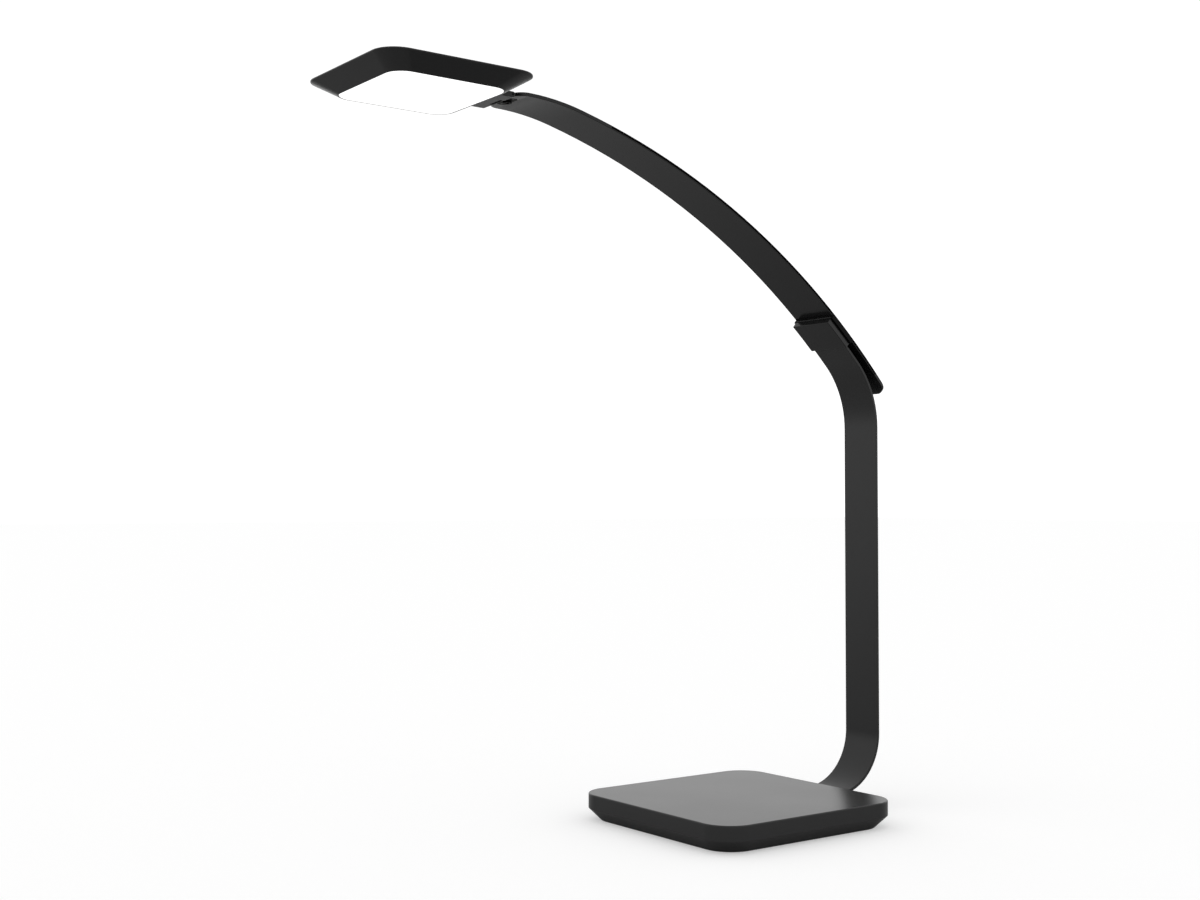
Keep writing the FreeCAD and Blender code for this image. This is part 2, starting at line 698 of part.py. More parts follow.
groove_inner = s.arm_width / 2 - s.groove_depth - s.conductor_thick
groove_span = (s.arm_thick / 2 - groove_width / 2, s.arm_thick / 2 + groove_width / 2)


def sides():
    return (("left", -1), ("right", 1))


def mirrored(inner, outer, side):
    return (inner, outer) if side > 0 else (-outer, -inner)


def arm_strap():
    band, bent = strap_body("arm_band", arm_runs(), 0, s.arm_thick, s.arm_width)
    thick = s.arm_thick.number
    round_edges(band, bent, s.arm_corner, lambda line: abs(line.Length - thick) < 1e-6)
    grooves = [arc_bar(f"{name}_groove", mirrored(groove_inner, s.arm_width / 2 + s.run_gap, side),
                       groove_span, (groove_low, groove_high))
               for name, side in sides()]
    pocket = leaf_form("leaf_pocket", s.seat_gap, tip_z - s.run_gap)
    screw_hole = cylinder("tip_hole", s.screw_radius + s.hole_gap, "z", leaf_high, tip_ceiling,
                          (0, leaf_middle))
    dowel_holes = [cylinder(f"tip_dowel_hole_{index}", s.dowel_radius + s.hole_gap, "z", leaf_high,
                            tip_ceiling, place)
                   for index, place in enumerate(dowel_places())]
    return cut("arm_strap", band, *grooves, pocket, screw_hole, *dowel_holes)


def conductor(name, side):
    x = mirrored(groove_inner, groove_inner + s.conductor_thick, side)
    return arc_bar(f"{name}_conductor", x, groove_span, (groove_low, groove_high))


# The hinge leaf lies in a pocket of the arm's underside; its fasteners stop below the arm's upper face
leaf_front = tip_end + s.tip_wall
leaf_middle = (leaf_front + tip_y) / 2
leaf_high = tip_z + s.leaf_thick
tip_ceiling = tip_z + s.arm_thick - s.tip_skin


def dowel_places():
    reach = s.leaf_width / 2 - s.dowel_radius * 3
    return [(reach, leaf_middle), (-reach, leaf_middle)]


def leaf_form(name, gap, low):
    # The leaf's plate and the web to its knuckle, or with a gap the pocket that they lie in
    half, neck = s.leaf_width / 2 + gap, s.knuckle_width / 2 + gap
    plate = prism(f"{name}_plate", half, (tip_y - leaf_front) / 2 + gap, s.leaf_corner + gap, low, leaf_high,
                  leaf_middle)
    web = box(f"{name}_web", (-neck, neck), (hinge_y, leaf_middle), (low, leaf_high))
    return fuse(f"{name}_form", plate, web)


def hinge_leaf():
    neck = s.knuckle_width / 2
    knuckle = cylinder("leaf_knuckle", s.knuckle_radius, "x", -neck, neck, (hinge_y, hinge_z))
    body = fuse("leaf_body", leaf_form("leaf", 0, tip_z), knuckle)
    bore = cylinder("leaf_bore", s.pin_radius + s.hole_gap, "x", -neck, neck, (hinge_y, hinge_z))
    screw_hole = cylinder("leaf_screw_hole", s.screw_radius + s.hole_gap, "z", tip_z, leaf_high,
                          (0, leaf_middle))
    dowel_holes = [cylinder(f"leaf_dowel_hole_{index}", s.dowel_radius + s.hole_gap, "z", tip_z, leaf_high,
                            place)
                   for index, place in enumerate(dowel_places())]
    return cut("hinge_leaf", body, bore, screw_hole, *dowel_holes)


def leaf_screw():
    return screw("leaf_screw", s.screw_radius, s.leaf_screw_head, tip_z - s.leaf_screw_height, tip_z,
                 tip_ceiling - s.hole_gap, (0, leaf_middle))


def leaf_dowels():
    pins = [cylinder(f"leaf_dowel_{index}", s.dowel_radius, "z", tip_z, tip_ceiling - s.hole_gap, place)
            for index, place in enumerate(dowel_places())]
    return group("leaf_dowels", *pins)


# Head

opening_rear = head_y + head_opening
bracket_front = opening_rear + s.bracket_wall
bracket_depth = hinge_y - bracket_front
bracket_span = (hinge_z - s.knuckle_radius, hinge_z + s.knuckle_radius)


def bracket_screw_places():
    reach = s.bracket_width / 2 - s.small_head * 3
    return [(reach, hinge_z), (-reach, hinge_z)]


def head_shell():
    slab = bevelled_slab("head_slab", s.head_side / 2, s.head_corner, s.opening_corner + s.head_rim,
                         s.head_border, head_high - s.head_lip, head_low, head_high, s.head_edge, head_y)
    cavity = prism("head_cavity", head_opening, head_opening, s.opening_corner, head_low, head_cavity_high,
                   head_y)
    half = s.bracket_width / 2 + s.seat_gap
    pocket = box("bracket_pocket", (-half, half), (bracket_front, head_rear),
                 (bracket_span[0] - s.seat_gap, bracket_span[1] + s.seat_gap))
    holes = [cylinder(f"shell_hole_{index}", s.small_screw + s.hole_gap, "y", opening_rear, bracket_front,
                      place)
             for index, place in enumerate(bracket_screw_places())]
    sinks = [cylinder(f"shell_sink_{index}", s.small_head + s.hole_gap, "y", opening_rear,
                      opening_rear + s.small_head_height, place)
             for index, place in enumerate(bracket_screw_places())]
    return cut("head_shell", slab, cavity, pocket, *holes, *sinks)


def hinge_bracket():
    half = s.bracket_width / 2
    inner = s.knuckle_width / 2 + s.washer_thick + s.hole_gap * 2
    plate = box("bracket_plate", (-half, half), (bracket_front, hinge_y), bracket_span)
    knuckle = cylinder("bracket_knuckle", s.knuckle_radius, "x", -half, half, (hinge_y, hinge_z))
    body = fuse("bracket_body", plate, knuckle)
    reach = s.knuckle_radius + s.run_gap
    notch = box("bracket_notch", (-inner, inner), (hinge_y - reach, hinge_y + reach),
                (hinge_z - reach, hinge_z + reach))
    bore = cylinder("bracket_bore", s.pin_radius + s.hole_gap / 2, "x", -half, half, (hinge_y, hinge_z))
    holes = [cylinder(f"bracket_hole_{index}", s.small_screw * 0.8 + s.hole_gap, "y", bracket_front,
                      bracket_front + bracket_depth / 2, place)
             for index, place in enumerate(bracket_screw_places())]
    return cut("hinge_bracket", body, notch, bore, *holes)


def bracket_screws():
    seat = opening_rear + s.small_head_height
    screws = []
    for index, place in enumerate(bracket_screw_places()):
        shank = cylinder(f"bracket_shank_{index}", s.small_screw * 0.8, "y", seat,
                         bracket_front + bracket_depth / 2 - s.run_gap, place)
        head = cylinder(f"bracket_head_{index}", s.small_head, "y", opening_rear + s.hole_gap, seat, place)
        screws.append(fuse(f"bracket_screw_{index}", shank, head))
    return group("bracket_screws", *screws)


def hinge_pin():
    half = s.bracket_width / 2
    return cylinder("hinge_pin", s.pin_radius, "x", -half, half, (hinge_y, hinge_z))


def friction_washers():
    inner = s.knuckle_width / 2 + s.hole_gap
    washers = []
    for name, side in sides():
        low, high = mirrored(inner, inner + s.washer_thick, side)
        disc = cylinder(f"{name}_disc", s.knuckle_radius, "x", low, high, (hinge_y, hinge_z))
        hole = cylinder(f"{name}_disc_hole", s.pin_radius + s.hole_gap / 2, "x", low, high,
                        (hinge_y, hinge_z))
        washers.append(cut(f"{name}_washer", disc, hole))
    return group("friction_washers", *washers)


def head_plate(name, inset, low, high):
    # A plate that follows the head's opening at an even distance
    half = head_opening - inset
    return prism(name, half, half, s.opening_corner - inset, low, high, head_y)


def leds():
    half = s.led_size / 2
    first = half + s.frame_width + s.led_margin - head_opening
    pitch = -first * 2 / (led_rows - 1)
    chips = []
    for column in range(led_rows):
        for line in range(led_rows):
            x = first + pitch * column
            y = head_y + first + pitch * line
            chips.append(box(f"led_{column}_{line}", (x - half, x + half), (y - half, y + half),
                             (led_board_low - s.led_height, led_board_low)))
    return group("leds", *chips)


def reflector_frame():
    low = head_low + s.diffuser_thick
    outer = head_plate("frame_outer", s.run_gap, low, led_board_low)
    half = head_opening - s.frame_width
    inner = prism("frame_inner", half, half, s.opening_corner / 2, low, led_board_low, head_y)
    return cut("reflector_frame", outer, inner)


def build():
    parts = [
        base_shell(), base_weight(), bottom_plate(), foot_pads(), plate_screws(), control_board(),
        board_components(), touch_spring(), dc_socket(), strap_clamp(), clamp_screws(),
        post_strap(), post_cable(), cable_cover(),
        slider_block(), strap_insulator(), glide_shoe(), slider_screws(),
        arm_strap(), hinge_leaf(), leaf_screw(), leaf_dowels(),
        head_shell(), hinge_bracket(), bracket_screws(), hinge_pin(), friction_washers(),
        head_plate("thermal_pad", s.led_board_inset * 2, led_board_high, head_cavity_high),
        head_plate("led_board", s.led_board_inset, led_board_low, led_board_high),
        leds(), reflector_frame(),
        head_plate("diffuser", s.seat_gap, head_low, head_low + s.diffuser_thick),
    ]
    for name, side in sides():
        parts += [keeper(f"{name}_keeper", side), conductor(name, side)]
    return parts


def check_and_write(parts):
    doc.recompute()
    for thing in doc.Objects:
        if "Invalid" in thing.State or "Error" in thing.State:
            raise RuntimeError(f"{thing.Label} did not build: {thing.State}")
    for part in parts:
        if part.Shape.isNull() or not part.Shape.isValid():
            raise RuntimeError(f"{part.Label} has no valid shape")
    os.makedirs("parts", exist_ok=True)
    for part in parts:
        part.Shape.exportStep(f"parts/{part.Label}.step")
        print(f"{part.Label}: {len(part.Shape.Solids)} solids, {part.Shape.Volume:.1f} mm3")


check_and_write(build())
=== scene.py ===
import json
import math

import bmesh
import bpy
from mathutils import Matrix, Vector


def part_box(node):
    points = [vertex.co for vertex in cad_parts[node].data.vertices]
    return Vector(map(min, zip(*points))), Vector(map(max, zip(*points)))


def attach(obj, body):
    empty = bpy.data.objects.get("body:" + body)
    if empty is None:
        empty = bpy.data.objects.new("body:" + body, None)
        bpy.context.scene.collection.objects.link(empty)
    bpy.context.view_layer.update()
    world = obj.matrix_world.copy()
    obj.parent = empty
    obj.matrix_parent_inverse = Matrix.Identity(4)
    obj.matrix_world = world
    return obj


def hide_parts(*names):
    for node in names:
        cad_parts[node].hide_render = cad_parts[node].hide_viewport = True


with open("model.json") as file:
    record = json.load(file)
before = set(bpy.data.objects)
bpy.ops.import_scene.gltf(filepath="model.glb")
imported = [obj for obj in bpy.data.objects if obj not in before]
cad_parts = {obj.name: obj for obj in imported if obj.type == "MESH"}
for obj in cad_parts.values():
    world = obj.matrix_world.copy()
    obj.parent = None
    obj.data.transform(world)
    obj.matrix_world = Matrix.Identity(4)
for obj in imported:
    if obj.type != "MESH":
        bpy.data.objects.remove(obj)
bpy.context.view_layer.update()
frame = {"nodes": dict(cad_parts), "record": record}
nodes = frame["nodes"]
mm = 0.001
print("frame loaded:", len(nodes), "nodes")


# Shader helpers

class Value:
    # a socket that can be used in sums and products; each adds a Math node
    def __init__(self, nodeTree, socket):
        self.nodeTree = nodeTree
        self.socket = socket

    def math(self, operation, first, second):
        return self.nodeTree.add("Math", {"operation": operation}, {0: first, 1: second})

    def __add__(self, other):
        return self.math("ADD", self, other)

    def __radd__(self, other):
        return self.math("ADD", other, self)

    def __mul__(self, other):
        return self.math("MULTIPLY", self, other)

    def __rmul__(self, other):
        return self.math("MULTIPLY", other, self)


class NodeTree:
    # adds nodes to one tree and links them
    def __init__(self, tree):
        self.tree = tree

    def add(self, kind, settings=None, sockets=None, output=0):
        node = self.tree.nodes.new("ShaderNode" + kind)
        for key, setting in (settings or {}).items():
            if key == "stops":
                self.setStops(node.color_ramp, setting)
            else:
                setattr(node, key, setting)
        for key, value in (sockets or {}).items():
            self.feed(node.inputs[key], value)
        return Value(self, node.outputs[output])

    def setStops(self, ramp, stops):
        while len(ramp.elements) < len(stops):
            ramp.elements.new(1)
        for element, (position, grey) in zip(ramp.elements, stops):
            element.position = position
            element.color = (grey, grey, grey, 1)

    def feed(self, socket, value):
        if isinstance(value, Value):
            self.tree.links.new(value.socket, socket)
        else:
            socket.default_value = value


class Finish(NodeTree):
    # a material whose patterns lie on Object coordinates; grain sizes and depths are in millimetres
    def __init__(self, name, **constants):
        self.material = bpy.data.materials.new(name)
        self.material.use_nodes = True
        super().__init__(self.material.node_tree)
        self.shader = self.tree.nodes["Principled BSDF"]
        self.place = self.add("TexCoord", output="Object")
        for socket, value in constants.items():
            self.set(socket.replace("_", " "), value)

    def set(self, name, value):
        self.feed(self.shader.inputs[name], value)

    def noise(self, size, detail=2.0, rough=0.5, stretch=None):
        place = self.place
        if stretch:
            place = self.add("Mapping", None, {"Vector": place, "Scale": stretch})
        sockets = {"Vector": place, "Scale": 1 / (size * mm), "Detail": detail, "Roughness": rough}
        return self.add("TexNoise", None, sockets)

    def tint(self, amount, dark, light):
        # the colours of a Mix node are its inputs 6 and 7 and its output 2
        sockets = {"Factor": amount, 6: (*dark, 1), 7: (*light, 1)}
        return self.add("Mix", {"data_type": "RGBA", "clamp_factor": True}, sockets, output=2)

    def bump(self, height, depth):
        self.set("Normal", self.add("Bump", None, {"Height": height, "Distance": depth * mm}))


# Finishes

def paintFinish(name, look):
    # satin powder coat: fine orange peel, faint clouds in gloss and colour
    finish = Finish(name, Specular_IOR_Level=look["specular"])
    grain = finish.noise(look["grain"], detail=2)
    cloud = finish.noise(look["cloud"], detail=3)
    finish.set("Base Color", finish.tint(cloud, look["dark"], look["light"]))
    finish.set("Roughness", look["roughness"] + cloud * look["cloudGloss"] + grain * look["grainGloss"])
    finish.bump(grain, look["depth"])
    return finish.material


def plasticFinish(name, look):
    # moulded plastic with a fine spark-eroded grain
    finish = Finish(name, Specular_IOR_Level=look["specular"])
    grain = finish.noise(look["grain"], detail=4, rough=0.6)
    cloud = finish.noise(look["cloud"])
    finish.set("Base Color", finish.tint(cloud, look["dark"], look["light"]))
    finish.set("Roughness", look["roughness"] + grain * look["grainGloss"])
    finish.bump(grain, look["depth"])
    return finish.material


metalTint = {"lines": 0.6, "cloud": 0.4}  # shares of the two patterns in a metal's colour


def steelFinish(name, look):
    # drawn or plated metal with fine lines along one axis
    finish = Finish(name, Metallic=1.0)
    lines = finish.noise(look["grain"], detail=3, stretch=look["stretch"])
    cloud = finish.noise(look["cloud"])
    pattern = lines * metalTint["lines"] + cloud * metalTint["cloud"]
    finish.set("Base Color", finish.tint(pattern, look["dark"], look["light"]))
    finish.set("Roughness", look["roughness"] + lines * look["grainGloss"])
    finish.bump(lines, look["depth"])
    return finish.material


def opalFinish(name, look):
    # opal sheet lit from behind, very slightly uneven
    finish = Finish(name, Roughness=look["roughness"], Specular_IOR_Level=look["specular"],
                    Emission_Strength=look["glow"])
    grain = finish.noise(look["grain"], detail=2)
    cloud = finish.noise(look["cloud"])
    finish.set("Base Color", finish.tint(cloud, look["dark"], look["light"]))
    finish.set("Emission Color", finish.tint(cloud, look["dim"], look["bright"]))
    finish.bump(grain, look["depth"])
    return finish.material


# the base, head, post and arm share one black paint; tone and gloss are set piece by piece, so the
# differences are painted light and shade: the arm much darker and glossier, the head less glossy
shellPaint = paintFinish("shellPaint", {
    "dark": (0.020, 0.020, 0.0202), "light": (0.025, 0.025, 0.0252), "specular": 0.30,
    "grain": 0.45, "cloud": 60, "roughness": 0.24, "cloudGloss": 0.05, "grainGloss": 0.05, "depth": 0.006})
headPaint = paintFinish("headPaint", {
    "dark": (0.021, 0.021, 0.0212), "light": (0.025, 0.025, 0.0252), "specular": 0.17,
    "grain": 0.45, "cloud": 60, "roughness": 0.24, "cloudGloss": 0.05, "grainGloss": 0.05, "depth": 0.006})
strapPaint = paintFinish("strapPaint", {
    "dark": (0.019, 0.019, 0.0192), "light": (0.023, 0.023, 0.0232), "specular": 0.25,
    "grain": 0.4, "cloud": 45, "roughness": 0.30, "cloudGloss": 0.05, "grainGloss": 0.05, "depth": 0.006})
armPaint = paintFinish("armPaint", {
    "dark": (0.004, 0.004, 0.0042), "light": (0.007, 0.007, 0.0072), "specular": 0.27,
    "grain": 0.4, "cloud": 45, "roughness": 0.14, "cloudGloss": 0.05, "grainGloss": 0.05, "depth": 0.006})
hingePaint = paintFinish("hingePaint", {
    "dark": (0.012, 0.012, 0.0122), "light": (0.016, 0.016, 0.0162), "specular": 0.22,
    "grain": 0.3, "cloud": 12, "roughness": 0.32, "cloudGloss": 0.05, "grainGloss": 0.06, "depth": 0.008})
platePaint = paintFinish("platePaint", {
    "dark": (0.018, 0.018, 0.018), "light": (0.028, 0.028, 0.028), "specular": 0.4,
    "grain": 1.1, "cloud": 50, "roughness": 0.5, "cloudGloss": 0.05, "grainGloss": 0.12, "depth": 0.08})
sliderPlastic = plasticFinish("sliderPlastic", {
    "dark": (0.007, 0.007, 0.007), "light": (0.010, 0.010, 0.010), "specular": 0.30,
    "grain": 0.25, "cloud": 15, "roughness": 0.20, "grainGloss": 0.08, "depth": 0.004})
# near-black matte paint on the keepers, hinge leaf and leaf screw: real black paint, made darker than the
# other paints as painted shade in the gaps round the slider and the hinge
blackAndShadePaint = paintFinish("blackAndShadePaint", {
    "dark": (0.0015, 0.0015, 0.0015), "light": (0.003, 0.003, 0.003), "specular": 0.08,
    "grain": 0.3, "cloud": 10, "roughness": 0.5, "cloudGloss": 0.05, "grainGloss": 0.08, "depth": 0.006})
shoePlastic = plasticFinish("shoePlastic", {
    "dark": (0.016, 0.016, 0.016), "light": (0.024, 0.024, 0.024), "specular": 0.4,
    "grain": 0.2, "cloud": 12, "roughness": 0.45, "grainGloss": 0.1, "depth": 0.008})
socketPlastic = plasticFinish("socketPlastic", {
    "dark": (0.010, 0.010, 0.010), "light": (0.014, 0.014, 0.014), "specular": 0.5,
    "grain": 0.2, "cloud": 10, "roughness": 0.28, "grainGloss": 0.08, "depth": 0.006})
cablePlastic = plasticFinish("cablePlastic", {
    "dark": (0.012, 0.012, 0.012), "light": (0.02, 0.02, 0.02), "specular": 0.4,
    "grain": 0.3, "cloud": 20, "roughness": 0.5, "grainGloss": 0.1, "depth": 0.01})
footRubber = plasticFinish("footRubber", {
    "dark": (0.018, 0.018, 0.018), "light": (0.035, 0.035, 0.034), "specular": 0.25,
    "grain": 0.35, "cloud": 6, "roughness": 0.72, "grainGloss": 0.15, "depth": 0.03})
boardMask = plasticFinish("boardMask", {
    "dark": (0.010, 0.07, 0.03), "light": (0.02, 0.12, 0.05), "specular": 0.5,
    "grain": 0.5, "cloud": 5, "roughness": 0.35, "grainGloss": 0.1, "depth": 0.01})
padGrey = plasticFinish("padGrey", {
    "dark": (0.30, 0.30, 0.31), "light": (0.38, 0.38, 0.39), "specular": 0.3,
    "grain": 0.5, "cloud": 10, "roughness": 0.7, "grainGloss": 0.1, "depth": 0.02})
frameWhite = plasticFinish("frameWhite", {
    "dark": (0.78, 0.78, 0.77), "light": (0.86, 0.86, 0.85), "specular": 0.4,
    "grain": 0.3, "cloud": 15, "roughness": 0.45, "grainGloss": 0.1, "depth": 0.008})
ledCream = plasticFinish("ledCream", {
    "dark": (0.75, 0.60, 0.22), "light": (0.85, 0.72, 0.32), "specular": 0.5,
    "grain": 0.2, "cloud": 2, "roughness": 0.3, "grainGloss": 0.1, "depth": 0.004})
pinSteel = steelFinish("pinSteel", {
    "dark": (0.42, 0.42, 0.43), "light": (0.58, 0.58, 0.59), "grain": 0.15, "cloud": 6,
    "stretch": (0.05, 1, 1), "roughness": 0.25, "grainGloss": 0.15, "depth": 0.002})
blackSteel = steelFinish("blackSteel", {
    "dark": (0.004, 0.004, 0.004), "light": (0.008, 0.008, 0.0085), "grain": 0.2, "cloud": 4,
    "stretch": (0.1, 1, 1), "roughness": 0.32, "grainGloss": 0.15, "depth": 0.002})
zincSteel = steelFinish("zincSteel", {
    "dark": (0.36, 0.37, 0.38), "light": (0.55, 0.56, 0.58), "grain": 0.8, "cloud": 9,
    "stretch": (1, 1, 1), "roughness": 0.32, "grainGloss": 0.2, "depth": 0.004})
blackZinc = steelFinish("blackZinc", {
    "dark": (0.035, 0.035, 0.036), "light": (0.06, 0.06, 0.062), "grain": 0.5, "cloud": 4,
    "stretch": (1, 1, 1), "roughness": 0.35, "grainGloss": 0.2, "depth": 0.004})
castIron = steelFinish("castIron", {
    "dark": (0.08, 0.08, 0.08), "light": (0.16, 0.155, 0.15), "grain": 1.5, "cloud": 25,
    "stretch": (1, 1, 1), "roughness": 0.6, "grainGloss": 0.2, "depth": 0.05})
platedBrass = steelFinish("platedBrass", {
    "dark": (0.035, 0.033, 0.030), "light": (0.060, 0.055, 0.050), "grain": 0.2, "cloud": 12,
    "stretch": (1, 0.1, 0.1), "roughness": 0.3, "grainGloss": 0.15, "depth": 0.002})
boardWhite = plasticFinish("boardWhite", {
    "dark": (0.74, 0.74, 0.74), "light": (0.82, 0.82, 0.82), "specular": 0.5,
    "grain": 0.4, "cloud": 12, "roughness": 0.4, "grainGloss": 0.1, "depth": 0.006})
opalSheet = opalFinish("opalSheet", {
    "dark": (0.86, 0.86, 0.86), "light": (0.90, 0.90, 0.90),
    "dim": (0.90, 0.90, 0.90), "bright": (1.0, 1.0, 1.0),
    "glow": 1.1, "specular": 0.4, "roughness": 0.45, "grain": 0.5, "cloud": 22, "depth": 0.006})
print("finishes made:", len(bpy.data.materials))

finishOf = {
    "base_shell": shellPaint, "head_shell": headPaint, "post_strap": strapPaint, "arm_strap": armPaint,
    "cable_cover": strapPaint, "slider_block": sliderPlastic, "left_keeper": blackAndShadePaint,
    "right_keeper": blackAndShadePaint, "hinge_leaf": blackAndShadePaint, "hinge_bracket": hingePaint,
    "leaf_screw": blackAndShadePaint, "hinge_pin": blackSteel, "leaf_dowels": blackSteel, "touch_spring": pinSteel,
    "strap_clamp": zincSteel, "clamp_screws": zincSteel, "plate_screws": blackZinc,
    "slider_screws": blackZinc, "bracket_screws": blackZinc, "base_weight": castIron,
    "bottom_plate": platePaint, "foot_pads": footRubber, "control_board": boardMask,
    "board_components": socketPlastic, "dc_socket": socketPlastic, "post_cable": cablePlastic,
    "strap_insulator": cablePlastic, "glide_shoe": shoePlastic, "left_conductor": platedBrass,
    "right_conductor": platedBrass, "friction_washers": shoePlastic, "thermal_pad": padGrey,
    "led_board": boardWhite, "leds": ledCream, "reflector_frame": frameWhite, "diffuser": opalSheet,
}
record = frame["record"]
slotOf = {part["node"]: part["material_slot"] for part in record["subparts"]}
bodyOf = {node: body for body, members in record["behaviour"]["bodies"].items() for node in members}

for name, node in nodes.items():
    node.data.materials.clear()
    node.data.materials.append(finishOf[name])


# Modelling helpers

def pieceName(node):
    first, *others = node.split("_")
    return first + "".join(word.capitalize() for word in others or ["piece"])


def addPiece(name, shape, node, smoothAngle=40, finish=None, slot=None):
    # a finished mesh that moves with the node's body; one with a slot of its own leaves the node showing
    mesh = bpy.data.meshes.new(name)
    shape.to_mesh(mesh)
    shape.free()
    for face in mesh.polygons:
        face.use_smooth = True
    mesh.set_sharp_from_angle(angle=math.radians(smoothAngle))
    mesh.materials.append(finish or finishOf[node])
    piece = bpy.data.objects.new(name, mesh)
    bpy.context.scene.collection.objects.link(piece)
    weighted = piece.modifiers.new("flatFaces", "WEIGHTED_NORMAL")
    weighted.keep_sharp = True
    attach(piece, bodyOf[node])
    slot or slotOf[node]
    if not slot:
        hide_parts(node)


def sharpEdges(shape, angle):
    # every edge that turns more than angle degrees
    limit = math.radians(angle)
    return [line for line in shape.edges if line.is_manifold and line.calc_face_angle() > limit]


def roundEdges(shape, lines, edge, segments=2):
    # edge in millimetres
    bmesh.ops.bevel(shape, geom=lines, offset=edge * mm, offset_type="OFFSET", segments=segments,
                    profile=0.5, affect="EDGES", clamp_overlap=True, material=-1)


turning = {"weld": 0.001, "sharpAngle": 60}  # millimetres, degrees


def lathe(profile, steps=40):
    # turns (radius, height) pairs in millimetres round the Z axis
    shape = bmesh.new()
    points = [shape.verts.new((radius * mm, 0, height * mm)) for radius, height in profile]
    lines = [shape.edges.new(pair) for pair in zip(points, points[1:])]
    bmesh.ops.spin(shape, geom=points + lines, axis=(0, 0, 1), angle=math.tau, steps=steps, use_merge=True)
    bmesh.ops.remove_doubles(shape, verts=shape.verts, dist=turning["weld"] * mm)
    bmesh.ops.recalc_face_normals(shape, faces=shape.faces)
    return shape


def vertsIn(geometry):
    return [item for item in geometry if isinstance(item, bmesh.types.BMVert)]


def edgesIn(geometry):
    return [item for item in geometry if isinstance(item, bmesh.types.BMEdge)]


def spread(shape, places):
    # one copy of the shape at each place
    first = shape.verts[:] + shape.edges[:] + shape.faces[:]
    for place in places[1:]:
        copied = bmesh.ops.duplicate(shape, geom=first)["geom"]
        bmesh.ops.translate(shape, vec=place, verts=vertsIn(copied))
    bmesh.ops.translate(shape, vec=places[0], verts=vertsIn(first))


def cornerPlaces(node, radius):
    # the four corner centres of a node whose round pieces have that radius, at its lowest level
    low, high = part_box(node)
    reach = radius * mm
    columns = (low[0] + reach, high[0] - reach)
    lines = (low[1] + reach, high[1] - reach)
    return [(x, y, low[2]) for x in columns for y in lines]


# Pieces with softened edges, which stand for the sharp solids; edge radius in millimetres

edgeOf = {
    "base_shell": 0.35, "head_shell": 0.3, "post_strap": 0.35, "arm_strap": 0.3, "slider_block": 0.4,
    "glide_shoe": 0.2, "left_keeper": 0.12, "right_keeper": 0.12, "hinge_leaf": 0.1, "hinge_bracket": 0.25,
    "cable_cover": 0.12, "diffuser": 0.3, "bottom_plate": 0.25, "dc_socket": 0.2,
}
softening = {
    "sharpAngle": 25, "flatAngle": 0.2,  # degrees
    "leastChain": 10, "pocketRim": 1.0, "weld": 0.0005, "sliver": 0.002,  # millimetres
}


def chainsOf(lines):
    # the lines in groups that hang together
    left = set(lines)
    while left:
        chain = [left.pop()]
        for line in chain:
            near = {other for vert in line.verts for other in vert.link_edges} & left
            left -= near
            chain.extend(near)
        yield chain


def chainSize(chain):
    points = [vert.co for line in chain for vert in line.verts]
    low, high = (Vector(pick(axis) for axis in zip(*points)) for pick in (min, max))
    return (high - low).length / mm


def inPocket(line):
    # the rim of the pocket in the arm stays sharp, because its edges are too short to round
    low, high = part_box("hinge_leaf")
    rim = softening["pocketRim"] * mm
    return all(low[axis] - rim < vert.co[axis] < high[axis] + rim for vert in line.verts for axis in range(3))


def softened(node, edge):
    # a copy of the node with its outer edges rounded; small holes stay sharp
    shape = bmesh.new()
    shape.from_mesh(nodes[node].data)
    bmesh.ops.remove_doubles(shape, verts=shape.verts, dist=softening["weld"] * mm)
    bmesh.ops.dissolve_limit(shape, angle_limit=math.radians(softening["flatAngle"]), verts=shape.verts,
                             edges=shape.edges)
    lines = [line for line in sharpEdges(shape, softening["sharpAngle"]) if line.is_convex]
    if node == "arm_strap":
        lines = [line for line in lines if not inPocket(line)]
    chains = [chain for chain in chainsOf(lines) if chainSize(chain) > softening["leastChain"]]
    outer = {line for chain in chains for line in chain}
    roundEdges(shape, [line for line in lines if line in outer], edge)
    bmesh.ops.dissolve_degenerate(shape, dist=softening["sliver"] * mm, edges=shape.edges)
    return shape


for node, edge in edgeOf.items():
    addPiece(pieceName(node), softened(node, edge), node)
print("softened pieces:", len(edgeOf))


# Screws with a hexagon socket, head below

leafScrew = {"head": 3.0, "height": 1.2, "shank": 1.45, "socket": 1.5, "depth": 0.75, "edge": 0.3}
plateScrew = {"head": 2.7, "height": 1.0, "shank": 1.45, "socket": 1.3, "depth": 0.6, "edge": 0.2}
socketRim = 1.2  # where the turned face ends, in socket radii


def hexScrew(size, length):
    rim = size["socket"] * socketRim
    head, height, shank = size["head"], size["height"], size["shank"]
    shape = lathe([(rim, 0), (head, 0), (head, height), (shank, height), (shank, length), (0, length)])
    roundEdges(shape, sharpEdges(shape, turning["sharpAngle"]), size["edge"], segments=3)
    rimEdges = [line for line in shape.edges if line.is_boundary]
    hexagon = bmesh.ops.create_circle(shape, segments=6, radius=size["socket"] * mm)["verts"]
    hexEdges = [line for line in shape.edges if line.is_wire and line.verts[0] in hexagon]
    bmesh.ops.bridge_loops(shape, edges=rimEdges + hexEdges)
    walls = bmesh.ops.extrude_edge_only(shape, edges=hexEdges)["geom"]
    bmesh.ops.translate(shape, vec=(0, 0, size["depth"] * mm), verts=vertsIn(walls))
    bmesh.ops.edgeloop_fill(shape, edges=[line for line in edgesIn(walls) if line.is_boundary])
    bmesh.ops.recalc_face_normals(shape, faces=shape.faces)
    return shape


def addScrews(node, size, places):
    low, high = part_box(node)
    shape = hexScrew(size, (high[2] - low[2]) / mm)
    spread(shape, places)
    addPiece(pieceName(node), shape, node, smoothAngle=30)


